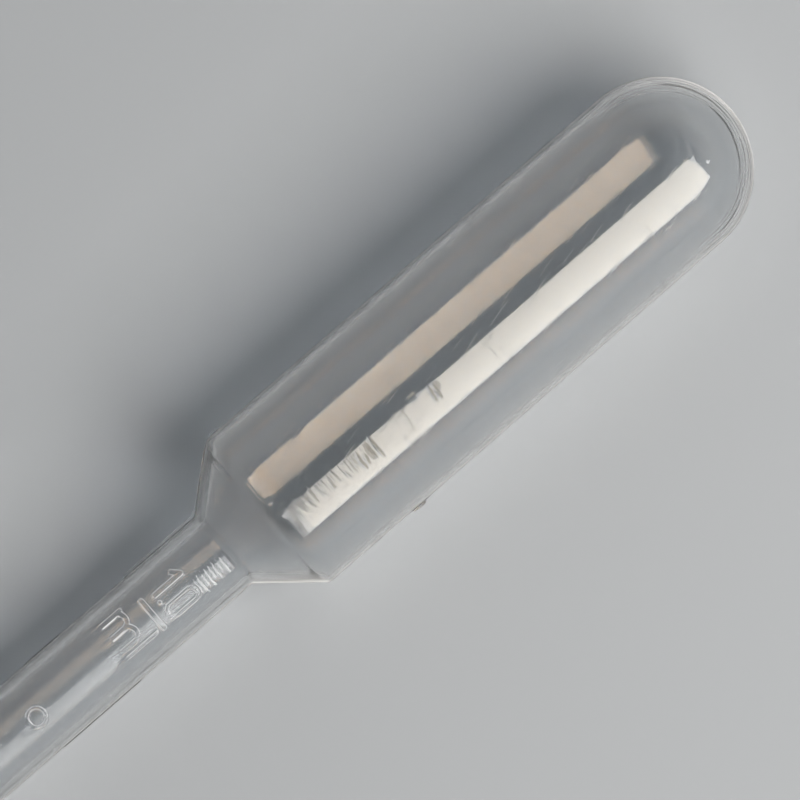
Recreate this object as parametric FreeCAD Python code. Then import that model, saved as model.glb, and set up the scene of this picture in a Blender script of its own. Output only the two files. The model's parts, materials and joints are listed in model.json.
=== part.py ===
import FreeCAD
import Part

import math
import os

# Graduated dropper pipette, blown in one piece from a tube of low-density polyethylene.
#
# A squeeze bulb with a round end runs through a conical shoulder into a thin stem, which narrows to a fine
# tip. One hollow runs through the whole, and opens only at the tip. Raised marks on the upper side of the
# stem show the volume held from the tip up to each of them. The two halves of the mould leave a fine seam
# down both sides and over the round end, with a few shreds of flash on it.
#
# Sizes are in millimetres. The pipette is drawn along +X from the tip, with its marks towards +Z. It is then
# laid down as it rests: on the edge of its shoulder and on the rim of its tip.

Vector = FreeCAD.Vector
ORIGIN = Vector(0, 0, 0)
ALONG = Vector(1, 0, 0)

# Bulb and shoulder
BULB_DIAMETER = 12.0
BULB_STRAIGHT = 32.9  # cylinder between the shoulder and the round end
BULB_WALL = 0.35
SHOULDER_ANGLE = 40.0  # between the shoulder cone and the axis, in degrees
SHOULDER_ROUNDING = 0.5
NECK_ROUNDING = 0.3

# Stem
STEM_DIAMETER = 5.6
STEM_WALL = 0.65
TAPER_LENGTH = 48.0  # cone between the tip and the even part of the stem
TAPER_ROUNDING = 60.0  # the slow bends at both ends of the taper

# Tip
TIP_DIAMETER = 2.6
TIP_WALL = 0.6
TIP_LENGTH = 5.0  # even part at the end

# Scale: volumes held below the graduation lines, in cubic millimetres, which is thousandths of the unit
GRADUATIONS = [250.0, 500.0, 750.0, 1000.0]
TOP_LINE_BELOW_NECK = 6.0
MARK_RELIEF = 0.16

# Graduation line, in the reader's view with the bulb at the top
LINE_WIDTH = 0.42
LINE_LENGTH = 2.1  # between the centres of its round ends
LINE_ASIDE = 0.12  # to the reader's right of the axis

# Number over the top line: a one, a point and a nought
FIGURE_BASE = 0.68  # from the middle of the line to the foot of the figures
FIGURE_HEIGHT = 2.58
ONE_STROKE = 0.40
ONE_ASIDE = -0.67
ONE_FLAG = 0.42  # reach of the flag, across and down
NOUGHT_STROKE = 0.29
NOUGHT_ASIDE = 0.74
NOUGHT_WIDTH = 1.15
POINT_DIAMETER = 0.34
POINT_ASIDE = -0.13

# Unit under the top line: a wide letter and a tall one
LETTER_FOOT = 3.3  # from the middle of the line down to the foot of the letters
WIDE_STROKE = 0.38
WIDE_HEIGHT = 2.05
WIDE_LEG_PITCH = 1.02
WIDE_ASIDE = -0.35  # middle leg
TALL_STROKE = 0.30
TALL_HEIGHT = 2.9
TALL_ASIDE = 1.14
TALL_FOOT = 0.2  # radius of the turned foot

# Small mould mark, a plain ring
RING_BELOW_NECK = 15.8
RING_ASIDE = 0.23
RING_DIAMETER = 1.46
RING_STROKE = 0.26

# Mould seam, and the shreds of flash on it
SEAM_HEIGHT = 0.04
SEAM_THICKNESS = 0.12
NECK_FLASH_LENGTH = 6.0
NECK_FLASH_HEIGHT = 0.22
SHOULDER_FLASH_LENGTH = 0.7
SHOULDER_FLASH_HEIGHT = 0.2
BULB_FLASH_PAST_SHOULDER = 6.8
BULB_FLASH_LENGTH = 1.3
BULB_FLASH_HEIGHT = 0.2

# Radii worked out from the sizes above
BULB_R = BULB_DIAMETER / 2
STEM_R = STEM_DIAMETER / 2
TIP_R = TIP_DIAMETER / 2
STEM_BORE_R = STEM_R - STEM_WALL
TIP_BORE_R = TIP_R - TIP_WALL
SHOULDER_RISE = math.radians(SHOULDER_ANGLE)
CORNER_SHIFT = math.tan(SHOULDER_RISE / 2)  # how far a corner of the shoulder moves as its surface is offset

# Volumes of the bore in the tip and the taper, and of each millimetre of the even stem
TIP_HOLDS = math.pi * TIP_BORE_R**2 * TIP_LENGTH
TAPER_HOLDS = math.pi / 3 * TAPER_LENGTH * (TIP_BORE_R**2 + TIP_BORE_R * STEM_BORE_R + STEM_BORE_R**2)
STEM_HOLDS = math.pi * STEM_BORE_R**2

# Places along the axis, from the rim of the tip. The even stem is as long as the top line needs.
TAPER_START = TIP_LENGTH
TAPER_END = TAPER_START + TAPER_LENGTH
TOP_LINE = TAPER_END + (GRADUATIONS[-1] - TIP_HOLDS - TAPER_HOLDS) / STEM_HOLDS
NECK = TOP_LINE + TOP_LINE_BELOW_NECK
SHOULDER = NECK + (BULB_R - STEM_R) / math.tan(SHOULDER_RISE)
DOME = SHOULDER + BULB_STRAIGHT


def section(tip_inset, stem_inset, bulb_inset):
    """Corners (point, bend) of a surface that lies so far inside the outer one, from tip to bulb."""
    neck = NECK + stem_inset * CORNER_SHIFT
    shoulder = SHOULDER + bulb_inset * CORNER_SHIFT
    return [
        (Vector(0, TIP_R - tip_inset, 0), 0.0),
        (Vector(TAPER_START, TIP_R - tip_inset, 0), TAPER_ROUNDING),
        (Vector(TAPER_END, STEM_R - stem_inset, 0), TAPER_ROUNDING),
        (Vector(neck, STEM_R - stem_inset, 0), NECK_ROUNDING + stem_inset),
        (Vector(shoulder, BULB_R - bulb_inset, 0), SHOULDER_ROUNDING - bulb_inset),
        (Vector(DOME, BULB_R - bulb_inset, 0), 0.0),
    ]


def rounded_edges(corners):
    """Edges through the corners, with a tangent arc of its own radius at every inner one."""
    edges = []
    start = corners[0][0]
    for index in range(1, len(corners) - 1):
        here, bend = corners[index]
        back = (corners[index - 1][0] - here).normalize()
        onward = (corners[index + 1][0] - here).normalize()
        half_turn = (math.pi - back.getAngle(onward)) / 2
        reach = bend * math.tan(half_turn)
        crown = bend / math.cos(half_turn) - bend
        first = here + back * reach
        middle = here + (back + onward).normalize() * crown
        last = here + onward * reach
        edges.append(Part.makeLine(start, first))
        edges.append(Part.Arc(first, middle, last).toShape())
        start = last
    edges.append(Part.makeLine(start, corners[-1][0]))
    return edges


def side_edges(corners):
    """One side of the pipette in the XY plane, from the rim of the tip to the pole of the round end."""
    radius = corners[-1][0].y
    diagonal = radius * math.sqrt(0.5)
    start = Vector(DOME, radius, 0)
    middle = Vector(DOME + diagonal, diagonal, 0)
    pole = Vector(DOME + radius, 0, 0)
    return rounded_edges(corners) + [Part.Arc(start, middle, pole).toShape()]


def turned(corners, run_out=0.0):
    """The solid of revolution inside a section, run out past the rim of the tip if asked."""
    rim = corners[0][0]
    pole = Vector(DOME + corners[-1][0].y, 0, 0)
    corners = [(rim - ALONG * run_out, 0.0)] + corners[1:]
    foot = Vector(-run_out, 0, 0)
    edges = [Part.makeLine(foot, corners[0][0])]
    edges += side_edges(corners)
    edges.append(Part.makeLine(pole, foot))
    return Part.Face(Part.Wire(edges)).revolve(ORIGIN, ALONG, 360)


def plate(outline):
    """A thin plate of the closed outline, centred on the parting plane."""
    face = Part.Face(outline)
    face.translate(Vector(0, 0, -SEAM_THICKNESS / 2))
    return face.extrude(Vector(0, 0, SEAM_THICKNESS))


def seam():
    """The fine rib that the parting line leaves down both sides and over the round end."""
    corners = section(-SEAM_HEIGHT, -SEAM_HEIGHT, -SEAM_HEIGHT)
    one_side = side_edges(corners)
    other_side = [edge.mirror(ORIGIN, Vector(0, 1, 0)) for edge in reversed(one_side)]
    rim = corners[0][0]
    across_tip = Part.makeLine(Vector(rim.x, -rim.y, 0), rim)
    return plate(Part.Wire(one_side + other_side + [across_tip]))


def flash(start, end, surface, height, side):
    """A shred of flash from start to end on a side, rooted in the wall and thinning to both ends."""
    run_out = min(height, (end - start) / 3)
    root = surface - BULB_WALL / 2
    crest = surface + height
    outline = [
        Vector(start, side * root, 0),
        Vector(start, side * surface, 0),
        Vector(start + run_out, side * crest, 0),
        Vector(end - run_out, side * crest, 0),
        Vector(end, side * surface, 0),
        Vector(end, side * root, 0),
        Vector(start, side * root, 0),
    ]
    return plate(Part.makePolygon(outline))


def neck_flash():
    """The long shred below the neck, which runs into the shoulder cone at its upper end."""
    buried = 2 * NECK_FLASH_HEIGHT / math.tan(SHOULDER_RISE)
    return flash(NECK - NECK_FLASH_LENGTH, NECK + buried, STEM_R, NECK_FLASH_HEIGHT, 1)


def shoulder_flash():
    """The short shred where the shoulder meets the bulb."""
    start = SHOULDER + SHOULDER_ROUNDING * CORNER_SHIFT
    return flash(start, start + SHOULDER_FLASH_LENGTH, BULB_R, SHOULDER_FLASH_HEIGHT, 1)


def bulb_flash():
    """The short shred on the other side of the bulb."""
    start = SHOULDER + BULB_FLASH_PAST_SHOULDER
    return flash(start, start + BULB_FLASH_LENGTH, BULB_R, BULB_FLASH_HEIGHT, -1)


# Marks are drawn flat as (across, up) in the reader's view, with the bulb at the top. Across is to the
# reader's right, and up is along the stem from the middle of the mark's own graduation line.


def bar(width, start, end):
    """A straight stroke with round ends, between the centres of those ends."""
    start = Vector(*start, 0)
    end = Vector(*end, 0)
    along = (end - start).normalize() * (width / 2)
    aside = Vector(-along.y, along.x, 0)
    edges = [
        Part.makeLine(start + aside, end + aside),
        Part.Arc(end + aside, end + along, end - aside).toShape(),
        Part.makeLine(end - aside, start - aside),
        Part.Arc(start - aside, start - along, start + aside).toShape(),
    ]
    return Part.Face(Part.Wire(edges))


def bow(width, centre, radius, first, last):
    """A stroke bent round the centre, square at both ends, from one bearing in degrees to another."""
    inner = Part.makeCircle(radius - width / 2, Vector(*centre, 0), Vector(0, 0, 1), first, last)
    outer = Part.makeCircle(radius + width / 2, Vector(*centre, 0), Vector(0, 0, 1), first, last)
    edges = [
        outer,
        Part.makeLine(outer.valueAt(outer.LastParameter), inner.valueAt(inner.LastParameter)),
        inner,
        Part.makeLine(inner.valueAt(inner.FirstParameter), outer.valueAt(outer.FirstParameter)),
    ]
    return Part.Face(Part.Wire(Part.__sortEdges__(edges)))


def ring(outer_diameter, width, centre):
    """A closed round stroke."""
    outer = Part.Face(Part.Wire(Part.makeCircle(outer_diameter / 2, Vector(*centre, 0))))
    inner = Part.Face(Part.Wire(Part.makeCircle(outer_diameter / 2 - width, Vector(*centre, 0))))
    return outer.cut(inner)


def graduation_line():
    """The short line of one graduation."""
    left = (LINE_ASIDE - LINE_LENGTH / 2, 0.0)
    right = (LINE_ASIDE + LINE_LENGTH / 2, 0.0)
    return [bar(LINE_WIDTH, left, right)]


def figure_one():
    """The one, with its flag down to the left."""
    half = ONE_STROKE / 2
    foot = (ONE_ASIDE, FIGURE_BASE + half)
    head = (ONE_ASIDE, FIGURE_BASE + FIGURE_HEIGHT - half)
    flag = (head[0] - ONE_FLAG, head[1] - ONE_FLAG)
    return [bar(ONE_STROKE, foot, head), bar(ONE_STROKE, flag, head)]


def figure_point():
    """The decimal point."""
    centre = Vector(POINT_ASIDE, FIGURE_BASE + POINT_DIAMETER / 2, 0)
    return [Part.Face(Part.Wire(Part.makeCircle(POINT_DIAMETER / 2, centre)))]


def figure_nought():
    """The nought, a tall round-ended loop."""
    bend = (NOUGHT_WIDTH - NOUGHT_STROKE) / 2
    low = FIGURE_BASE + NOUGHT_WIDTH / 2
    high = FIGURE_BASE + FIGURE_HEIGHT - NOUGHT_WIDTH / 2
    left = NOUGHT_ASIDE - bend
    right = NOUGHT_ASIDE + bend
    return [
        bow(NOUGHT_STROKE, (NOUGHT_ASIDE, high), bend, 0, 180),
        bow(NOUGHT_STROKE, (NOUGHT_ASIDE, low), bend, 180, 360),
        bar(NOUGHT_STROKE, (left, low), (left, high)),
        bar(NOUGHT_STROKE, (right, low), (right, high)),
    ]


def wide_letter():
    """The letter m, three legs under two arches."""
    half = WIDE_STROKE / 2
    arch = WIDE_LEG_PITCH / 2
    foot = half - LETTER_FOOT
    spring = WIDE_HEIGHT - LETTER_FOOT - half - arch
    legs = [WIDE_ASIDE - WIDE_LEG_PITCH, WIDE_ASIDE, WIDE_ASIDE + WIDE_LEG_PITCH]
    strokes = [bar(WIDE_STROKE, (leg, foot), (leg, spring)) for leg in legs]
    strokes.append(bar(WIDE_STROKE, (legs[0], spring), (legs[0], spring + arch)))
    strokes.append(bow(WIDE_STROKE, (legs[0] + arch, spring), arch, 0, 180))
    strokes.append(bow(WIDE_STROKE, (legs[1] + arch, spring), arch, 0, 180))
    return strokes


def tall_letter():
    """The letter l, with its foot turned to the right."""
    half = TALL_STROKE / 2
    foot = half - LETTER_FOOT
    head = TALL_HEIGHT - LETTER_FOOT - half
    turn = foot + TALL_FOOT
    return [
        bar(TALL_STROKE, (TALL_ASIDE, turn), (TALL_ASIDE, head)),
        bow(TALL_STROKE, (TALL_ASIDE + TALL_FOOT, turn), TALL_FOOT, 180, 270),
    ]


def raised(faces, place):
    """Prisms over the faces of a mark, which has its origin at the place on the stem."""
    prisms = []
    for face in faces:
        face.rotate(ORIGIN, Vector(0, 0, 1), -90)
        face.translate(ALONG * place)
        prisms.append(face.extrude(Vector(0, 0, STEM_DIAMETER)))
    return prisms


def held_up_to(volume):
    """Place on the stem up to which the bore holds the volume."""
    if volume >= TIP_HOLDS + TAPER_HOLDS:
        return TAPER_END + (volume - TIP_HOLDS - TAPER_HOLDS) / STEM_HOLDS
    growth = (STEM_BORE_R - TIP_BORE_R) / TAPER_LENGTH
    reached_r = (3 * growth * (volume - TIP_HOLDS) / math.pi + TIP_BORE_R**3) ** (1 / 3)
    return TAPER_START + (reached_r - TIP_BORE_R) / growth


def marks():
    """Every raised mark, cut off at an even height above the stem."""
    prisms = []
    for volume in GRADUATIONS:
        prisms += raised(graduation_line(), held_up_to(volume))
    caption = figure_one() + figure_point() + figure_nought() + wide_letter() + tall_letter()
    prisms += raised(caption, TOP_LINE)
    prisms += raised([ring(RING_DIAMETER, RING_STROKE, (RING_ASIDE, 0.0))], NECK - RING_BELOW_NECK)
    relief = turned(section(-MARK_RELIEF, -MARK_RELIEF, -MARK_RELIEF))
    return prisms[0].multiFuse(prisms[1:]).common(relief)


def pipette():
    """The whole pipette, still along +X from its tip."""
    outside = turned(section(0.0, 0.0, 0.0))
    bore = turned(section(TIP_WALL, STEM_WALL, BULB_WALL), TIP_DIAMETER)
    whole = outside.multiFuse([seam(), neck_flash(), shoulder_flash(), bulb_flash(), marks()])
    return whole.cut(bore).removeSplitter()


def resting_tilt():
    """Angle in radians by which the axis rises from tip to bulb, with both ends on a flat floor."""
    rounding_place = SHOULDER + SHOULDER_ROUNDING * CORNER_SHIFT
    rounding_drop = BULB_R - SHOULDER_ROUNDING - TIP_R
    reach = math.hypot(rounding_place, rounding_drop)
    return math.atan2(rounding_drop, rounding_place) + math.asin(SHOULDER_ROUNDING / reach)


def laid_down(shape):
    """The placement that lays the shape on the floor, with the middle of its box over the origin."""
    turn = FreeCAD.Placement(ORIGIN, FreeCAD.Rotation(Vector(0, 1, 0), -math.degrees(resting_tilt())))
    turned_shape = shape.copy()
    turned_shape.Placement = turn
    box = turned_shape.optimalBoundingBox(False, False)
    middle = Vector((box.XMin + box.XMax) / 2, (box.YMin + box.YMax) / 2, box.ZMin)
    return FreeCAD.Placement(-middle, FreeCAD.Rotation()).multiply(turn)


def report(placement, solid):
    """Print the sizes, and where the points of the mounts lie."""
    print("valid", solid.isValid(), "volume", round(solid.Volume, 1), "faces", len(solid.Faces))
    print("overall", round(DOME + BULB_R, 2), "neck", round(NECK, 2), "tilt", round(math.degrees(resting_tilt()), 3))
    print("lines", [round(held_up_to(volume), 2) for volume in GRADUATIONS])
    for name, place in [("tip", 0.0), ("taper end", TAPER_END), ("neck", NECK), ("pole", DOME + BULB_R)]:
        point = placement.multVec(ALONG * place)
        print(name, [round(value, 4) for value in point])
    axis = placement.Rotation.multVec(ALONG)
    print("axis", [round(value, 6) for value in axis])
    box = solid.optimalBoundingBox(False, False)
    print("box", [round(value, 3) for value in (box.XMin, box.XMax, box.YMin, box.YMax, box.ZMin, box.ZMax)])


def main():
    os.makedirs("parts", exist_ok=True)
    drawn = pipette().Solids[0]
    placement = laid_down(drawn)
    solid = drawn.copy()
    solid.Placement = placement
    report(placement, solid)
    solid.exportStep("parts/pipette.step")


main()
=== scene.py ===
import json
import math

import bpy
import numpy as np
from mathutils import Matrix, Vector


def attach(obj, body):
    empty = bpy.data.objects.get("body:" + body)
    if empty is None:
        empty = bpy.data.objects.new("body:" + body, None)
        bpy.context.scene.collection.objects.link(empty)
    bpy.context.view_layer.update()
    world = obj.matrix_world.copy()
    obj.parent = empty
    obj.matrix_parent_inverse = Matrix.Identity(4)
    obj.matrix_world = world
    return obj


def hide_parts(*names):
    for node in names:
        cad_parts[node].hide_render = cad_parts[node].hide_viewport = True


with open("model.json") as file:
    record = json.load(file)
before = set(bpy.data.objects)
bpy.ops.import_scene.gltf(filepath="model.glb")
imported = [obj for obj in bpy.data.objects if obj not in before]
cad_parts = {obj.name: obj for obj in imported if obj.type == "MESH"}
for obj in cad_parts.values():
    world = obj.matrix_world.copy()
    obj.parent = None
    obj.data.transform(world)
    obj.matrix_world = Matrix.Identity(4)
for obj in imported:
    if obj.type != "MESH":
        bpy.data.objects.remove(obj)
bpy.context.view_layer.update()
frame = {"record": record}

# Lengths below are in millimetres, and places are measured along the axis from the rim of the tip. The
# sizes of the pipette and of its marks have the names and values of the part's source.
MM = 0.001

# ---------------------------------------------------------------- the pipette's sizes
BULB_R = 6.0
BULB_WALL = 0.35
STEM_R = 2.8
STEM_WALL = 0.65
TIP_R = 1.3
TIP_WALL = 0.6
TIP_LENGTH = 5.0
TAPER_END = 53.0
TAPER_ROUNDING = 60.0
NECK = 104.43
NECK_ROUNDING = 0.3
SHOULDER = 108.245
SHOULDER_ROUNDING = 0.5
SHOULDER_ANGLE = math.radians(40.0)
CORNER_SHIFT = math.tan(SHOULDER_ANGLE / 2)  # how far a corner of the shoulder moves as its surface is offset
DOME = 141.145
POLE = DOME + BULB_R

# In the scene alone
CROWN_ROUNDING = 2.2  # of the shoulder's corner, on top and underneath
RIM_ROUNDING = 0.12
RIM_WIDTH = 0.3  # of the rim's flat, which is joined to the bore

# ---------------------------------------------------------------- the axis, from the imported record
mounts = {m["name"]: m for m in frame["record"]["mounts"]}
ALONG = -Vector(mounts["tip"]["axis"]).normalized()
ACROSS = Vector((0, 1, 0))
UPWARD = ALONG.cross(ACROSS).normalized()
RIM = Vector(mounts["tip"]["pos_m"]) - ALONG * (mounts["tip"]["dims"]["length_mm"] / 2 * MM)


def placed(x, y, z):
    """World point of a place along the axis, y to the side and z up from the axis."""
    return RIM + (ALONG * x + ACROSS * y + UPWARD * z) * MM


# ---------------------------------------------------------------- profiles
ARC_POINTS = 25
DOME_POINTS = 181


def rounded(corners):
    """Points of a line through the corners (x, r, bend), with an arc of its own radius at every inner one."""
    points = [np.array(corners[0][:2])]
    for before, here, after in zip(corners, corners[1:], corners[2:]):
        p = np.array(here[:2])
        back = np.array(before[:2]) - p
        onward = np.array(after[:2]) - p
        back /= np.linalg.norm(back)
        onward /= np.linalg.norm(onward)
        half_turn = (math.pi - math.acos(np.clip(back @ onward, -1, 1))) / 2
        bend = here[2]
        inward = (back + onward) / np.linalg.norm(back + onward)
        centre = p + inward * bend / math.cos(half_turn)
        foot = -inward
        side = np.array([-foot[1], foot[0]])
        if side @ back < 0:
            side = -side
        for t in np.linspace(half_turn, -half_turn, ARC_POINTS):
            points.append(centre + bend * (foot * math.cos(t) + side * math.sin(t)))
    points.append(np.array(corners[-1][:2]))
    return points


def profile(tip_inset, stem_inset, bulb_inset, rim, shoulder_rounding=SHOULDER_ROUNDING):
    """Points (x, r) of a wall's surface, so far inside the outer one, from the rim to the pole."""
    corners = rim + [
        (TIP_LENGTH, TIP_R - tip_inset, TAPER_ROUNDING),
        (TAPER_END, STEM_R - stem_inset, TAPER_ROUNDING),
        (NECK + stem_inset * CORNER_SHIFT, STEM_R - stem_inset, NECK_ROUNDING + stem_inset),
        (SHOULDER + bulb_inset * CORNER_SHIFT, BULB_R - bulb_inset, shoulder_rounding - bulb_inset),
        (DOME, BULB_R - bulb_inset, 0.0),
    ]
    points = rounded(corners)
    radius = BULB_R - bulb_inset
    for t in np.linspace(0, math.pi / 2, DOME_POINTS)[1:]:
        points.append(np.array([DOME + radius * math.sin(t), radius * math.cos(t)]))
    return np.array(points)


class Wall:
    """A surface of revolution: places and directions along its profile, by length along it."""

    def __init__(self, points):
        step = np.hypot(*np.diff(points, axis=0).T)
        keep = np.concatenate([[True], step > 1e-9])
        self.points = points[keep]
        self.length = np.concatenate([[0], np.cumsum(np.hypot(*np.diff(self.points, axis=0).T))])

    def at(self, s):
        x = np.interp(s, self.length, self.points[:, 0])
        r = np.interp(s, self.length, self.points[:, 1])
        return x, r

    def normal(self, s):
        reach = 0.02
        xa, ra = self.at(s - reach)
        xb, rb = self.at(s + reach)
        dx, dr = xb - xa, rb - ra
        size = np.hypot(dx, dr)
        return -dr / size, dx / size

    def stations(self, fine, plain):
        """Lengths at which rows go: as far apart as the first fine stretch (start, end, gap) around them says,
        or else the first plain one (end, gap) before whose end they lie."""
        found = [0.0]
        while found[-1] < self.length[-1]:
            x, _ = self.at(found[-1])
            gaps = [gap for start, end, gap in fine if start < x < end]
            gaps += [gap for end, gap in plain if x < end]
            found.append(found[-1] + gaps[0])
        found = np.array(found)
        return found * (self.length[-1] / found[-1])


# ---------------------------------------------------------------- raised marks
# They are drawn as a reader sees them, with the bulb at the top: u to the right, v up from the line's middle.
LINES = [46.14, 64.0, 81.21, 98.43]
TOP_LINE = LINES[-1]
LINE_WIDTH = 0.42
LINE_LENGTH = 2.1  # between the centres of its round ends
LINE_ASIDE = 0.12

FIGURE_BASE = 0.68
FIGURE_HEIGHT = 2.58
ONE_STROKE = 0.40
ONE_ASIDE = -0.67
ONE_FLAG = 0.42
NOUGHT_STROKE = 0.29
NOUGHT_ASIDE = 0.74
NOUGHT_WIDTH = 1.15
POINT_DIAMETER = 0.34
POINT_ASIDE = -0.13

LETTER_FOOT = 3.3
WIDE_STROKE = 0.38
WIDE_HEIGHT = 2.05
WIDE_LEG_PITCH = 1.02
WIDE_ASIDE = -0.35
TALL_STROKE = 0.30
TALL_HEIGHT = 2.9
TALL_ASIDE = 1.14
TALL_FOOT = 0.2

RING = NECK - 15.8
RING_ASIDE = 0.23
RING_DIAMETER = 1.46
RING_STROKE = 0.26

MARK_RELIEF = 0.16
MARK_FOOT = 0.02  # how far the foot of a stroke reaches past its drawn edge
MARK_CROWN = 0.15  # how far in from its foot a stroke is rounded over
MARK_PATCH = (3.8, 2.3)  # half the patch round a mark, along the axis and across it
NO_MARK = 9.0  # clearance outside the patches
EDGE_BAND = 0.095  # width of the band along a stroke's edge that is whitened as a painted highlight


def bar(a, b, width):
    """A straight stroke from a to b with round ends, as each point's distance from its edge."""
    a, b = np.array(a), np.array(b)
    d = b - a

    def clear(u, v):
        t = np.clip(((u - a[0]) * d[0] + (v - a[1]) * d[1]) / (d @ d), 0, 1)
        return np.hypot(u - a[0] - t * d[0], v - a[1] - t * d[1]) - width / 2

    return clear


def bow(centre, radius, first, last, width):
    """A stroke along an arc between two bearings in degrees, with round ends."""
    half_turn = (last - first) / 2
    ends = [math.radians(first), math.radians(last)]

    def clear(u, v):
        du, dv = u - centre[0], v - centre[1]
        off = (np.degrees(np.arctan2(dv, du)) - (first + last) / 2 + 180) % 360 - 180
        from_ends = [np.hypot(du - radius * math.cos(t), dv - radius * math.sin(t)) for t in ends]
        on_arc = np.abs(np.hypot(du, dv) - radius)
        return np.where(np.abs(off) <= half_turn, on_arc, np.minimum(*from_ends)) - width / 2

    return clear


def ring(aside, radius, width):
    """A round stroke. One with no radius is a dot."""
    return lambda u, v: np.abs(np.hypot(u - aside, v) - radius) - width / 2


def number():
    """1.0, over the line."""
    foot = FIGURE_BASE + ONE_STROKE / 2
    head = (ONE_ASIDE, FIGURE_BASE + FIGURE_HEIGHT - ONE_STROKE / 2)
    flag = (head[0] - ONE_FLAG, head[1] - ONE_FLAG)
    dot = ring(POINT_ASIDE, 0.0, POINT_DIAMETER)
    point_up = FIGURE_BASE + POINT_DIAMETER / 2
    bend = (NOUGHT_WIDTH - NOUGHT_STROKE) / 2
    low = FIGURE_BASE + NOUGHT_WIDTH / 2
    high = FIGURE_BASE + FIGURE_HEIGHT - NOUGHT_WIDTH / 2
    return [
        bar((ONE_ASIDE, foot), head, ONE_STROKE),
        bar(flag, head, ONE_STROKE),
        lambda u, v: dot(u, v - point_up),
        bow((NOUGHT_ASIDE, high), bend, 0, 180, NOUGHT_STROKE),
        bow((NOUGHT_ASIDE, low), bend, 180, 360, NOUGHT_STROKE),
        bar((NOUGHT_ASIDE - bend, low), (NOUGHT_ASIDE - bend, high), NOUGHT_STROKE),
        bar((NOUGHT_ASIDE + bend, low), (NOUGHT_ASIDE + bend, high), NOUGHT_STROKE),
    ]


def unit():
    """mL, under the line."""
    arch = WIDE_LEG_PITCH / 2
    foot = WIDE_STROKE / 2 - LETTER_FOOT
    spring = WIDE_HEIGHT - LETTER_FOOT - WIDE_STROKE / 2 - arch
    first, middle, last = (WIDE_ASIDE + step * WIDE_LEG_PITCH for step in (-1, 0, 1))
    corner = TALL_STROKE / 2 - LETTER_FOOT + TALL_FOOT
    return [
        bar((first, foot), (first, spring + arch), WIDE_STROKE),
        bar((middle, foot), (middle, spring), WIDE_STROKE),
        bar((last, foot), (last, spring), WIDE_STROKE),
        bow((first + arch, spring), arch, 0, 180, WIDE_STROKE),
        bow((middle + arch, spring), arch, 0, 180, WIDE_STROKE),
        bar((TALL_ASIDE, corner), (TALL_ASIDE, TALL_HEIGHT - LETTER_FOOT - TALL_STROKE / 2), TALL_STROKE),
        bow((TALL_ASIDE + TALL_FOOT, corner), TALL_FOOT, 180, 270, TALL_STROKE),
    ]


line = bar((LINE_ASIDE - LINE_LENGTH / 2, 0.0), (LINE_ASIDE + LINE_LENGTH / 2, 0.0), LINE_WIDTH)
MARKS = [(place, [line]) for place in LINES]
MARKS += [(TOP_LINE, number() + unit())]
MARKS += [(RING, [ring(RING_ASIDE, (RING_DIAMETER - RING_STROKE) / 2, RING_STROKE)])]


def smooth(t):
    """From 0 to 1 as t goes from 0 to 1, level at both ends."""
    t = np.clip(t, 0, 1)
    return t * t * (3 - 2 * t)


def span(x, start, end, run):
    """1 between start and end, rising and falling over the run inside them."""
    return smooth((x - start) / run) * smooth((end - x) / run)


def ridge(clear):
    """Height of a stroke as a share of the relief: steep at the foot, and rounded over towards its middle."""
    inward = np.clip((MARK_FOOT - clear) / MARK_CROWN, 0, 1)
    return np.sqrt(1 - (1 - inward) ** 2)


def mark_clearance(x, y, upper):
    """Distance from the nearest stroke's drawn edge, negative inside it, where the surface faces up."""
    clearance = np.full(x.shape, NO_MARK)
    for place, strokes in MARKS:
        near = upper & (np.abs(x - place) < MARK_PATCH[0]) & (np.abs(y) < MARK_PATCH[1])
        u, v = -y[near], x[near] - place
        for stroke in strokes:
            clearance[near] = np.minimum(clearance[near], stroke(u, v))
    return clearance


# ---------------------------------------------------------------- small dents and nibs
# (place past the neck, y, half width along, half length across, height, slant)
DENTS = [
    (10.30, -1.38, 0.075, 0.32, -0.055, 0.25),
    (10.67, -1.61, 0.070, 0.26, -0.050, 0.25),
    (10.32, -1.84, 0.080, 0.12, -0.050, 0.0),
    (11.25, -1.35, 0.060, 0.50, -0.030, 0.0),
    (11.62, -1.42, 0.078, 0.64, -0.060, 0.0),
    (15.66, -0.54, 0.12, 0.15, 0.075, 0.0),
    (16.50, -1.20, 0.075, 0.42, -0.055, 0.15),
    (16.84, -1.30, 0.078, 0.46, -0.060, 0.15),
    (4.28, 0.40, 0.13, 0.17, 0.085, 0.0),
    (4.25, -0.72, 0.11, 0.30, 0.080, -0.3),
    (3.85, -0.03, 0.13, 0.15, 0.030, 0.0),
    (38.85, 1.27, 0.12, 0.12, 0.050, 0.0),
    (38.60, 0.40, 0.12, 0.38, 0.050, 0.5),
    (38.95, -0.40, 0.12, 0.48, 0.050, 0.4),
    (39.40, -1.54, 0.12, 0.12, 0.060, 0.0),
]
# Folds across the stem below the neck: (place below the neck, depth, y from, y to)
RIBS = [
    (0.42, 0.022, -1.5, -0.1), (0.74, 0.020, -1.0, 0.0), (1.04, 0.030, -1.3, 0.0), (1.35, 0.026, -1.1, 0.0),
    (1.66, 0.032, -1.5, 0.0), (1.97, 0.028, -1.2, 0.1), (2.29, 0.032, -1.6, 0.0), (2.60, 0.022, -1.2, -0.1),
]
RIB_HALF_WIDTH = 0.062
RIB_RUNS = (0.4, 0.25)  # over which a rib deepens from its ends


def dent_height(x, y, upper):
    """Height of the small dents, nibs and ribs on the upper side."""
    height = np.zeros_like(x)
    for place, side, along, across, tall, slant in DENTS:
        du = x - NECK - place - slant * (y - side)
        height += tall * np.exp(-((du / along) ** 2)) * np.exp(-(((y - side) / across) ** 4))
    for place, deep, low, high in RIBS:
        du = x - NECK + place
        ends = smooth((y - low) / RIB_RUNS[0]) * smooth((high - y) / RIB_RUNS[1])
        height -= deep * np.exp(-((du / RIB_HALF_WIDTH) ** 2)) * ends
    return np.where(upper, height, 0.0)


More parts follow.
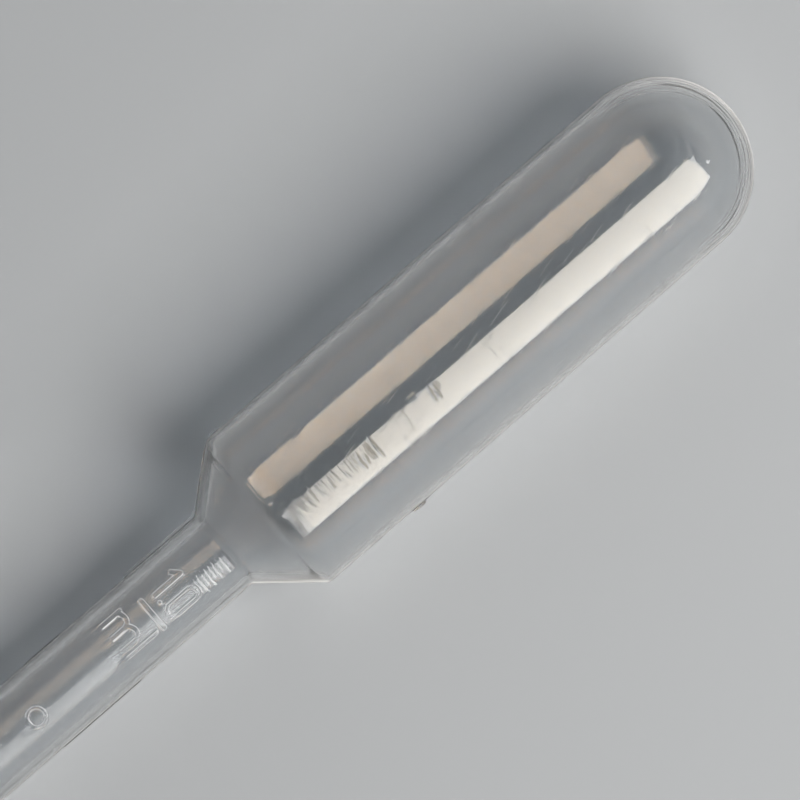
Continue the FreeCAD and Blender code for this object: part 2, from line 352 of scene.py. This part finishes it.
# ---------------------------------------------------------------- slow unevenness, the same on every run
WAVE_PEAK = 1.6  # of the sum of the waves, over the root of their number


def waves(x, angle, seed, count, longest, shortest, turns):
    """Smooth noise over the wall, hardly past -1 and 1, from waves along the axis and whole turns round it."""
    random = np.random.default_rng(seed)
    total = np.zeros(np.broadcast(x, angle).shape)
    for _ in range(count):
        length = math.exp(random.uniform(math.log(shortest), math.log(longest)))
        k = random.integers(-turns, turns + 1)
        phase = random.uniform(0, 2 * math.pi)
        total += np.sin(2 * math.pi * x / length + k * angle + phase)
    return total / math.sqrt(count) / WAVE_PEAK


# ---------------------------------------------------------------- seam and flash
SEAM_LEAST = 0.012
SEAM_RAGGED = 0.016  # how much higher the ragged crest comes
# Flash and thicker stretches: (side, start, end, run inside them, height, how much higher where it is ragged)
FLASH = [
    (1, NECK - 14.5, NECK - 11.3, 0.3, 0.07, 0.0),
    (1, NECK - 6.0, NECK + 0.5, 0.25, 0.18, 0.04),
    (1, NECK + 0.1, SHOULDER, 0.6, 0.10, 0.0),
    (1, SHOULDER + 0.2, SHOULDER + 0.95, 0.2, 0.2, 0.0),
    (-1, NECK - 16.0, NECK - 9.0, 0.3, 0.06, 0.0),
    (-1, SHOULDER + 6.8, SHOULDER + 8.1, 0.3, 0.2, 0.0),
]


def seam_crest(x, side):
    """Height of the parting seam along one side, +1 or -1, flash included."""
    noise = waves(x, np.zeros_like(x), seed=11 + side, count=14, longest=6.0, shortest=0.7, turns=0)
    ragged = np.clip(0.5 + 0.5 * noise, 0, 1)
    crest = SEAM_LEAST + SEAM_RAGGED * ragged
    for on, start, end, run, height, higher in FLASH:
        if on == side:
            crest = np.maximum(crest, (height + higher * ragged) * span(x, start, end, run))
    return crest


# ---------------------------------------------------------------- where the surface is scratched or dull
# Where the scratches are thickest, just past the shoulder: (start, end, run) along the axis, and across it
TICKED = [(NECK + 4.0, NECK + 10.4, 1.2), (-1.9, -0.4, 0.4)]
HAIRY = [(NECK + 4.5, NECK + 13.0, 2.0), (0.3, 2.6, 0.3)]
PATCHY_TICKS = 0.55  # share of the ticks in the other patches
HAIRS_LEAST = 0.35
PATCHY_HAIRS = 0.5  # and so much more in the patches
DULL_BELOW_NECK = 2.0
DULL_RUN = 4.0


def wear_shares(local):
    """Share of cross ticks, of long hairs and of dullness at each point, from 0 to 1."""
    x, y, z = local.T
    angle = np.arctan2(y, z)
    patches = smooth(waves(x, angle, seed=21, count=30, longest=12.0, shortest=2.0, turns=4) * 1.2 - 0.25)
    broken = smooth(0.8 + 0.5 * waves(x, angle, seed=22, count=20, longest=3.0, shortest=0.8, turns=5))
    ticks = np.maximum(PATCHY_TICKS * patches, span(x, *TICKED[0]) * span(y, *TICKED[1]) * broken)
    hairs = np.maximum(HAIRS_LEAST + PATCHY_HAIRS * patches, span(x, *HAIRY[0]) * span(y, *HAIRY[1]))
    dull = smooth((NECK - DULL_BELOW_NECK - x) / DULL_RUN)
    return np.stack([ticks, hairs, dull], 1)


# ---------------------------------------------------------------- the skin
BAND_REACH = 1.95  # half the width of the finely divided band on top of the stem
BAND_COLUMN = 0.056
SIDE_COLUMN = math.radians(4.5)
LOWER_COLUMNS = 16  # on each side, below the seam
SEAM_BEARING = math.pi / 2
SEAM_OFFSETS = [-0.2, -0.075, -0.04, 0.0, 0.04, 0.075, 0.2]
SEAM_CREST = 0.0401  # half the width of the crest, in the offsets
INNER_COLUMNS = 84
INNER_START = 0.01 - math.pi

# How far apart the rows are: round the marks, ribs, dents, nibs and corners, and in between
OUTER_FINE = [
    (TOP_LINE - 3.4, TOP_LINE + 3.4, 0.046),
    (RING - 0.85, RING + 0.85, 0.046),
    *((place - 0.34, place + 0.34, 0.056) for place in LINES[:-1]),
    (NECK - 2.8, NECK - 0.25, 0.042),
    (NECK + 10.05, NECK + 10.92, 0.045),
    (NECK + 11.08, NECK + 11.88, 0.045),
    (NECK + 16.25, NECK + 17.1, 0.045),
    (NECK + 3.6, NECK + 4.6, 0.08),
    (NECK + 15.45, NECK + 15.9, 0.08),
    (DOME + 2.0, DOME + 2.9, 0.1),
    (NECK - 0.35, NECK + 0.35, 0.07),
    (SHOULDER - 0.4, SHOULDER + 0.4, 0.07),
]
OUTER_PLAIN = [
    (0.3, 0.03), (1.0, 0.2), (TAPER_END - 2, 1.5), (RING - 2, 0.8), (NECK, 0.5), (SHOULDER, 0.25), (DOME, 0.42),
    (math.inf, 0.25),
]
INNER_FINE = [(NECK - 0.9, NECK + 0.9, 0.12), (SHOULDER - 0.5, SHOULDER + 0.5, 0.12)]
INNER_PLAIN = [(TAPER_END, 2.0), (NECK, 0.8), (DOME, 0.6), (math.inf, 0.3)]

STEP_IN = 0.021  # how far the skin lies inside the part's surface, so that nothing passes the part's box
CROWN_REACH = 2.0  # how far from the corner of the shoulder it can be rounder
OUTER_UNEVEN = 0.003
UNEVEN_MOST = 0.011
INNER_UNEVEN = 0.004
SLOW = dict(count=40, longest=26.0, shortest=5.0, turns=2)
FADE = 3.0  # over which the unevenness fades at both ends


def outer_columns():
    """Bearings from the top, and offsets in millimetres from the seams, once round."""
    reach = BAND_REACH / STEM_R
    band = np.linspace(-reach, reach, int(2 * BAND_REACH / BAND_COLUMN) + 1)
    columns = [(bearing, 0.0) for bearing in band]
    for side in (1, -1):
        between = np.arange(reach + SIDE_COLUMN, SEAM_BEARING - SIDE_COLUMN * 0.9, SIDE_COLUMN)
        below = np.linspace(SEAM_BEARING + SIDE_COLUMN, math.pi - SIDE_COLUMN / 2, LOWER_COLUMNS)
        columns += [(side * bearing, 0.0) for bearing in (*between, *below)]
        columns += [(side * SEAM_BEARING, offset) for offset in SEAM_OFFSETS]
    columns.sort(key=lambda c: c[0] + c[1] * 0.01)
    return np.array(columns)


def grid_faces(rows, columns, first, outward):
    """Quads between consecutive rows of a closed grid, wound outward or inward."""
    i = np.arange(rows - 1)[:, None]
    j = np.arange(columns)[None, :]
    k = (j + 1) % columns
    a = first + i * columns + j
    b = first + i * columns + k
    c = first + (i + 1) * columns + k
    d = first + (i + 1) * columns + j
    order = (a, d, c, b) if outward else (a, b, c, d)
    return np.stack([np.broadcast_to(v, (rows - 1, columns)).ravel() for v in order], 1).tolist()


def fan_faces(last_row, columns, pole, outward):
    """Triangles from the last row of a closed grid to the pole."""
    pairs = [(last_row + j, last_row + (j + 1) % columns) for j in range(columns)]
    return [(b, a, pole) if outward else (a, b, pole) for a, b in pairs]


def zipped(first_ring, first_angles, second_ring, second_angles):
    """Triangles that join two closed rings of vertices, each sorted by bearing."""
    faces = []
    i = j = 0
    n, m = len(first_ring), len(second_ring)
    while i < n or j < m:
        next_i = first_angles[i + 1] if i + 1 < n else first_angles[0] + 2 * math.pi
        next_j = second_angles[j + 1] if j + 1 < m else second_angles[0] + 2 * math.pi
        if j >= m or (i < n and next_i <= next_j):
            faces.append((first_ring[i % n], second_ring[j % m], first_ring[(i + 1) % n]))
            i += 1
        else:
            faces.append((first_ring[i % n], second_ring[j % m], second_ring[(j + 1) % m]))
            j += 1
    return faces


def softer_shoulder(x, r, bulb_inset):
    """How far the bulb's corner lies inside r where it is rounder, for each row."""
    rounder = profile(0.0, bulb_inset, bulb_inset, [(0.0, TIP_R, 0.0)], CROWN_ROUNDING)
    depth = np.interp(x, rounder[:, 0], rounder[:, 1]) - r
    return np.where(np.abs(x - SHOULDER) < CROWN_REACH, np.minimum(depth, 0.0), 0.0)[:, None]


def crown(angle):
    """1 on top and underneath, falling to 0 at the sides."""
    return smooth((np.abs(np.cos(angle)) - 0.05) / 0.8)


def raised(x, r, normal, angle, height):
    """Points of a surface of revolution, each moved out along its normal by its height."""
    out_x = x[:, None] + normal[0][:, None] * height
    out_r = r[:, None] + normal[1][:, None] * height
    return np.stack([out_x, out_r * np.sin(angle), out_r * np.cos(angle)], 2).reshape(-1, 3)


# Outer surface
outer = Wall(profile(0.0, 0.0, 0.0, [(0.0, TIP_R - RIM_WIDTH, 0.0), (0.0, TIP_R, RIM_ROUNDING)]))
stations = outer.stations(OUTER_FINE, OUTER_PLAIN)[:-1]
x, r = outer.at(stations)
bearings, offsets = outer_columns().T
angle = bearings + np.clip(offsets / np.maximum(r, 0.4)[:, None], -0.2, 0.2)
X = np.broadcast_to(x[:, None], angle.shape)
Y = r[:, None] * np.sin(angle)
upper = np.cos(angle) > 0

clearance = mark_clearance(X, Y, upper)
edges = (clearance > -EDGE_BAND) & (clearance < MARK_FOOT)
height = ridge(clearance) * MARK_RELIEF + dent_height(X, Y, upper)
for side in (1, -1):
    on_seam = (np.abs(bearings - side * SEAM_BEARING) < 1e-6) & (np.abs(offsets) <= SEAM_CREST)
    crest = seam_crest(x, side) * smooth((POLE - 0.6 - x) / 1.5) * smooth(x / 0.6)
    height = np.where(on_seam, np.maximum(height, crest[:, None]), height)
height = height + softer_shoulder(x, r, 0.0) * crown(angle)
uneven = waves(X, angle, seed=3, **SLOW) * OUTER_UNEVEN
height = height + (np.clip(uneven, -UNEVEN_MOST, UNEVEN_MOST) - STEP_IN) * span(X, 0.0, POLE, FADE)

rows, columns = angle.shape
outer_pole = rows * columns
first_inner = outer_pole + 1
vertices = [raised(x, r, outer.normal(stations), angle, height), [(POLE, 0.0, 0.0)]]
faces = grid_faces(rows, columns, 0, True) + fan_faces(outer_pole - columns, columns, outer_pole, True)
first_inside = len(faces)

# Inner surface
inner = Wall(profile(TIP_WALL, STEM_WALL, BULB_WALL, [(0.0, TIP_R - TIP_WALL, 0.0)]))
stations = inner.stations(INNER_FINE, INNER_PLAIN)[:-1]
x, r = inner.at(stations)
inner_angles = INNER_START + np.arange(INNER_COLUMNS) * 2 * math.pi / INNER_COLUMNS
X = np.broadcast_to(x[:, None], (len(x), INNER_COLUMNS))
height = waves(X, inner_angles, seed=8, **SLOW) * INNER_UNEVEN * span(X, 0.0, POLE, FADE)
height = height + softer_shoulder(x, r, BULB_WALL) * crown(inner_angles)

rows = len(x)
inner_pole = first_inner + rows * INNER_COLUMNS
vertices += [raised(x, r, inner.normal(stations), inner_angles, height), [(POLE - BULB_WALL, 0.0, 0.0)]]
faces += grid_faces(rows, INNER_COLUMNS, first_inner, False)
faces += fan_faces(inner_pole - INNER_COLUMNS, INNER_COLUMNS, inner_pole, False)
first_rim = len(faces)

# Rim, between the first rows of both
inner_ring = list(range(first_inner, first_inner + INNER_COLUMNS))
faces += zipped(inner_ring, inner_angles, list(range(columns)), angle[0])

local = np.concatenate(vertices)
axes = np.array([ALONG, ACROSS, UPWARD])
world = np.array(RIM) + local @ axes * MM

mesh = bpy.data.meshes.new("pipette_skin")
mesh.from_pydata(world.tolist(), [], faces)
mesh.validate()
mesh.polygons.foreach_set("use_smooth", np.ones(len(mesh.polygons), bool))

# The slot of each face, and what the materials read at each point: the place, and the shares of wear
OUTSIDE, EDGES, INSIDE, BELOW = range(4)
# Faces wholly in the band along a stroke's edge take a whiter, less clear material: a painted highlight along
# the strokes' edges.
in_both = edges & np.roll(edges, -1, axis=1)
painted_highlight_faces = in_both[:-1] & in_both[1:]
slots = np.full(len(mesh.polygons), OUTSIDE, np.int32)
slots[: painted_highlight_faces.size] = np.where(painted_highlight_faces.ravel(), EDGES, OUTSIDE)
middles = np.array([local[list(corners)].mean(0) for corners in faces[first_inside:first_rim]])
above = np.where(middles[:, 0] < NECK, OUTSIDE, INSIDE)
slots[first_inside:first_rim] = np.where(middles[:, 2] < 0, BELOW, above)

shares = wear_shares(local)
shares[first_inner:] = 0.0
for name, values in (("own_mm", local), ("wear", shares)):
    read = mesh.attributes.new(name, "FLOAT_VECTOR", "POINT")
    read.data.foreach_set("vector", values.astype(np.float32).ravel())
skin = bpy.data.objects.new("pipette_skin", mesh)
bpy.context.scene.collection.objects.link(skin)


# ---------------------------------------------------------------- polyethylene
def new_material(name):
    material = bpy.data.materials.new(name)
    material.use_nodes = True
    material.node_tree.nodes.clear()
    return material, material.node_tree


def node(tree, kind, **values):
    made = tree.nodes.new(kind)
    for key, value in values.items():
        if key in made.inputs:
            made.inputs[key].default_value = value
        else:
            setattr(made, key, value)
    return made


def map_range(tree, value, low, high, to_low=0.0, to_high=1.0, kind="SMOOTHSTEP"):
    """The value's place between low and high, as a number between to_low and to_high."""
    made = node(tree, "ShaderNodeMapRange", interpolation_type=kind)
    tree.links.new(value, made.inputs["Value"])
    for name, number in zip(("From Min", "From Max", "To Min", "To Max"), (low, high, to_low, to_high)):
        made.inputs[name].default_value = number
    return made.outputs["Result"]


class Nodes:
    """Short names for the nodes of one material, which read the place in the pipette's own millimetres."""

    def __init__(self, tree):
        self.tree = tree
        self.place = node(tree, "ShaderNodeAttribute", attribute_name="own_mm").outputs["Vector"]
        split = node(tree, "ShaderNodeSeparateXYZ")
        tree.links.new(self.place, split.inputs[0])
        self.x, _, self.z = split.outputs

    def noise(self, stretch, detail=1.0, rough=0.5, shift=(0, 0, 0), turn=0.0):
        """Noise with so many features to the millimetre along the pipette, across it and up."""
        mapping = node(self.tree, "ShaderNodeMapping")
        mapping.inputs["Scale"].default_value = stretch
        mapping.inputs["Location"].default_value = shift
        mapping.inputs["Rotation"].default_value = (0, 0, turn)
        mapping.vector_type = "TEXTURE" if turn else "POINT"
        if turn:
            mapping.inputs["Scale"].default_value = [1 / share for share in stretch]
        made = node(self.tree, "ShaderNodeTexNoise", Scale=1.0, Detail=detail, Roughness=rough)
        self.tree.links.new(self.place, mapping.inputs["Vector"])
        self.tree.links.new(mapping.outputs["Vector"], made.inputs["Vector"])
        return made.outputs["Fac"]

    def ranged(self, value, low, high, to_low=0.0, to_high=1.0):
        return map_range(self.tree, value, low, high, to_low, to_high)

    def maths(self, operation, *values):
        made = node(self.tree, "ShaderNodeMath", operation=operation)
        for socket, value in zip(made.inputs, values):
            if isinstance(value, (int, float)):
                socket.default_value = value
            else:
                self.tree.links.new(value, socket)
        return made.outputs[0]

    def times(self, a, b):
        return self.maths("MULTIPLY", a, b)

    def plus(self, a, b):
        return self.maths("ADD", a, b)

    def most(self, a, b):
        return self.maths("MAXIMUM", a, b)


MILK = [(0.745, 0.76, 0.77, 1), (0.795, 0.81, 0.82, 1)]
# Whiter colour of the strokes' edges: a painted highlight where their rounded edges would catch the lamp.
HIGHLIGHT_MILK = [(0.93, 0.94, 0.94, 1), (0.97, 0.975, 0.975, 1)]
# Lighter colour at the rims, where the wall is seen at a slant: a painted lighter rim.
MILK_PAINTED_AT_RIM = (0.97, 0.975, 0.975, 1)
RIM_LIGHTENING_SLANTS = (0.30, 0.80)  # from where to where the colour is painted lighter towards the rims, as one less the cosine of the slant
SHEEN = (1.0, 0.97, 0.93, 1)

CLOUDS = (0.12, 0.3, 0.3)  # features to the millimetre, along, across and up
TICKS = (4.2, 0.5, 0.5)
TICK_RIPPLE = 13.5  # radians to the millimetre
TICK_SWAY = 7.0
HAIRS = (0.5, 5.0, 5.0)
HAIR_TURN = 0.25
FLOW = (0.2, 0.2, 2.2)
FLOW_FROM = (DOME - 3.0, DOME + 1.5)
FLOW_UP_TO = (2.6, 4.2)

TICK_DEPTH = 0.020
HAIR_DEPTH = 0.008
FLOW_HEIGHT = 0.06
TICK_DULLS = 0.12
HAIR_DULLS = 0.15
GRAIN_DULLS = 0.03


def polyethylene(
    name, milk, transmission=0.96, roughness=0.03, dulled=0.0, shine=0.5, shine_tint=(1, 1, 1, 1), ior=1.56
):
    """Natural polyethylene, see-through with a faint milkiness, a soft gloss and fine scratches."""
    material, tree = new_material(name)
    link = tree.links.new
    n = Nodes(tree)
    out = node(tree, "ShaderNodeOutputMaterial")
    body = node(tree, "ShaderNodeBsdfPrincipled")
    body.inputs["IOR"].default_value = ior
    body.inputs["Transmission Weight"].default_value = transmission
    body.inputs["Specular IOR Level"].default_value = shine
    body.inputs["Specular Tint"].default_value = shine_tint
    body.inputs["Sheen Weight"].default_value = 0.9
    body.inputs["Sheen Roughness"].default_value = 0.35
    body.inputs["Sheen Tint"].default_value = SHEEN
    link(body.outputs[0], out.inputs["Surface"])

    wear = node(tree, "ShaderNodeAttribute", attribute_name="wear")
    shares = node(tree, "ShaderNodeSeparateXYZ")
    link(wear.outputs["Vector"], shares.inputs[0])
    ticks_share, hairs_share, dull = shares.outputs

    # colour: the milkiness is faintly uneven, in long clouds
    tone = node(tree, "ShaderNodeValToRGB")
    for element, place, colour in zip(tone.color_ramp.elements, (0.3, 0.7), milk):
        element.position = place
        element.color = colour
    link(n.noise(CLOUDS, 2.0, 0.6), tone.inputs["Fac"])

    # and it turns lighter towards the edges, where the wall is seen at a slant: a painted lighter rim
    slant = node(tree, "ShaderNodeLayerWeight", Blend=0.5)
    painted_rim_mix = node(tree, "ShaderNodeMix", data_type="RGBA")
    factor, a, b = (painted_rim_mix.inputs[i] for i in (0, 6, 7))  # those of colours
    link(n.ranged(slant.outputs["Facing"], *RIM_LIGHTENING_SLANTS), factor)
    link(tone.outputs["Color"], a)
    b.default_value = MILK_PAINTED_AT_RIM
    link(painted_rim_mix.outputs[2], body.inputs["Base Color"])

    # fine scratches: across the axis in patches, thickest past the shoulder, and long hairs along it
    grain = n.noise(TICKS)
    ripple = n.maths("SINE", n.plus(n.times(n.x, TICK_RIPPLE), n.times(grain, TICK_SWAY)))
    rippled = n.times(n.ranged(ripple, 0.62, 0.92), n.ranged(ticks_share, 0.5, 0.8))
    ticks = n.times(n.most(n.ranged(grain, 0.60, 0.67), rippled), ticks_share)
    hairs = n.times(n.ranged(n.noise(HAIRS, 1.0, 0.6, (3, 1, 5), HAIR_TURN), 0.62, 0.70), hairs_share)

    scratched = n.plus(n.times(ticks, TICK_DULLS), n.times(hairs, HAIR_DULLS))
    plain = n.plus(n.plus(n.times(grain, GRAIN_DULLS), n.times(dull, dulled)), roughness)
    link(n.plus(plain, scratched), body.inputs["Roughness"])

    # flow lines beside the parting plane, round the dome
    flow = n.times(n.noise(FLOW, 1.0, 0.6), n.ranged(n.x, *FLOW_FROM))
    flow = n.times(n.times(flow, n.ranged(n.z, *FLOW_UP_TO, 1.0, 0.0)), FLOW_HEIGHT)
    relief = n.plus(flow, n.plus(n.times(ticks, -TICK_DEPTH), n.times(hairs, -HAIR_DEPTH)))
    bump = node(tree, "ShaderNodeBump", Strength=1.0, Distance=MM)
    link(relief, bump.inputs["Height"])
    link(bump.outputs["Normal"], body.inputs["Normal"])

    return material


# In the order of the slots. The inside of the bulb shines more than the outside, and the lower half of the whole
# inside more still, and warmer: the photograph's far reflection is nearly as strong as its near one, and beige.
for made in (
    polyethylene("polyethylene", MILK, dulled=0.13),
    # The strokes' edges: whiter and less clear, a painted highlight.
    polyethylene("polyethylene_painted_highlight", HIGHLIGHT_MILK, transmission=0.52, roughness=0.05),
    polyethylene("polyethylene_inside", MILK, shine=1.0, shine_tint=(1.0, 0.84, 0.60, 1)),
    polyethylene("polyethylene_below", MILK, shine=1.0, shine_tint=(1.0, 0.66, 0.37, 1), ior=1.85),
):
    mesh.materials.append(made)
mesh.polygons.foreach_set("material_index", slots)
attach(skin, "root")
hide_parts("pipette")

# ---------------------------------------------------------------- floor, in metres from here on
FLOOR_HALF = 3.0
FLOOR_PAPER = (0.41, 0.421, 0.433, 1)
floor_corners = [(x * FLOOR_HALF, y * FLOOR_HALF, 0.0) for x, y in ((-1, -1), (1, -1), (1, 1), (-1, 1))]
floor_mesh = bpy.data.meshes.new("floor")
floor_mesh.from_pydata(floor_corners, [], [(0, 1, 2, 3)])
floor = bpy.data.objects.new("floor", floor_mesh)
scene = bpy.context.scene
scene.collection.objects.link(floor)
paper, tree = new_material("floor")
out = node(tree, "ShaderNodeOutputMaterial")
matte = node(tree, "ShaderNodeBsdfPrincipled", Roughness=0.9)
matte.inputs["Base Color"].default_value = FLOOR_PAPER
tree.links.new(matte.outputs[0], out.inputs["Surface"])
floor_mesh.materials.append(paper)

# ---------------------------------------------------------------- light
AIM = placed(NECK + 14.73, -0.16, 0.0)

SOFTBOX_AWAY = 0.35
SOFTBOX_TILT = math.radians(33.7)  # from straight up, towards -Y
SOFTBOX_SPREAD = math.radians(42.2)
SOFTBOX_COLOUR = (1.0, 0.98, 0.95)
SOFTBOX_RADIANCE = 6.0
SOFTBOX_EDGES = (1.25, 0.95)  # share of that at its low edge and at its high one
# Its two parts: (name, from, to along X, brightness). It is dimmer over the stem than over the bulb.
SOFTBOX_PARTS = [("softbox", 0.018, 0.33, 1.0), ("softbox_end", -0.035, 0.018, 0.34)]

toward = Vector((0, -math.sin(SOFTBOX_TILT), math.cos(SOFTBOX_TILT)))
level = Vector((1, 0, 0))
facing = Matrix((level, toward.cross(level), toward)).transposed().to_4x4()
width = 2 * SOFTBOX_AWAY * math.tan(SOFTBOX_SPREAD / 2)
for name, start, end, share in SOFTBOX_PARTS:
    lamp = bpy.data.lights.new(name, "AREA")
    lamp.shape = "RECTANGLE"
    lamp.size = end - start
    lamp.size_y = width
    lamp.energy = SOFTBOX_RADIANCE * share * math.pi * (end - start) * width
    lamp.color = SOFTBOX_COLOUR
    softbox = bpy.data.objects.new(name, lamp)
    middle = Vector(((start + end) / 2, AIM.y, AIM.z)) + toward * SOFTBOX_AWAY
    softbox.matrix_world = Matrix.Translation(middle) @ facing
    softbox.visible_camera = False
    scene.collection.objects.link(softbox)

    lamp.use_nodes = True
    tree = lamp.node_tree
    tree.nodes.clear()
    on_lamp = node(tree, "ShaderNodeNewGeometry")
    split = node(tree, "ShaderNodeSeparateXYZ")
    tree.links.new(on_lamp.outputs["Position"], split.inputs[0])
    half = width / 2 * math.cos(SOFTBOX_TILT)
    glow = node(tree, "ShaderNodeEmission")
    out = node(tree, "ShaderNodeOutputLight")
    strength = map_range(tree, split.outputs["Y"], middle.y - half, middle.y + half, *SOFTBOX_EDGES, "LINEAR")
    tree.links.new(strength, glow.inputs["Strength"])
    tree.links.new(glow.outputs[0], out.inputs["Surface"])

# The studio round it: pale walls and a dark ceiling, by the sine of the elevation
WALLS = (0.25, (0.60, 0.62, 0.64, 1))
CEILING = (0.75, (0.07, 0.076, 0.08, 1))
studio = bpy.data.worlds.new("studio")
studio.use_nodes = True
scene.world = studio
tree = studio.node_tree
tree.nodes.clear()
out = node(tree, "ShaderNodeOutputWorld")
direction = node(tree, "ShaderNodeTexCoord")
split = node(tree, "ShaderNodeSeparateXYZ")
room = node(tree, "ShaderNodeValToRGB")
for element, (position, colour) in zip(room.color_ramp.elements, (WALLS, CEILING)):
    element.position = position
    element.color = colour
background = node(tree, "ShaderNodeBackground", Strength=1.0)
tree.links.new(direction.outputs["Generated"], split.inputs[0])
tree.links.new(split.outputs["Z"], room.inputs["Fac"])
tree.links.new(room.outputs["Color"], background.inputs["Color"])
tree.links.new(background.outputs[0], out.inputs["Surface"])

# ---------------------------------------------------------------- camera
VIEW_WIDTH = 0.0508
CAMERA_AWAY = 0.9
CAMERA_TURN = math.radians(41.0)  # of the pipette in the picture
SENSOR = 36.0  # in millimetres
camera_data = bpy.data.cameras.new("camera")
camera_data.sensor_width = SENSOR
camera_data.lens = SENSOR * CAMERA_AWAY / VIEW_WIDTH
camera_data.clip_end = 20.0
camera = bpy.data.objects.new("camera", camera_data)
right = ALONG * math.cos(CAMERA_TURN) - ACROSS * math.sin(CAMERA_TURN)
upright = ALONG * math.sin(CAMERA_TURN) + ACROSS * math.cos(CAMERA_TURN)
back = right.cross(upright)
looking = Matrix((right, upright, back)).transposed().to_4x4()
camera.matrix_world = Matrix.Translation(AIM + back * CAMERA_AWAY) @ looking
scene.collection.objects.link(camera)
scene.camera = camera

scene.view_settings.view_transform = "Standard"
scene.cycles.blur_glossy = 0.0  # light that comes through the wall stays as sharp as it is
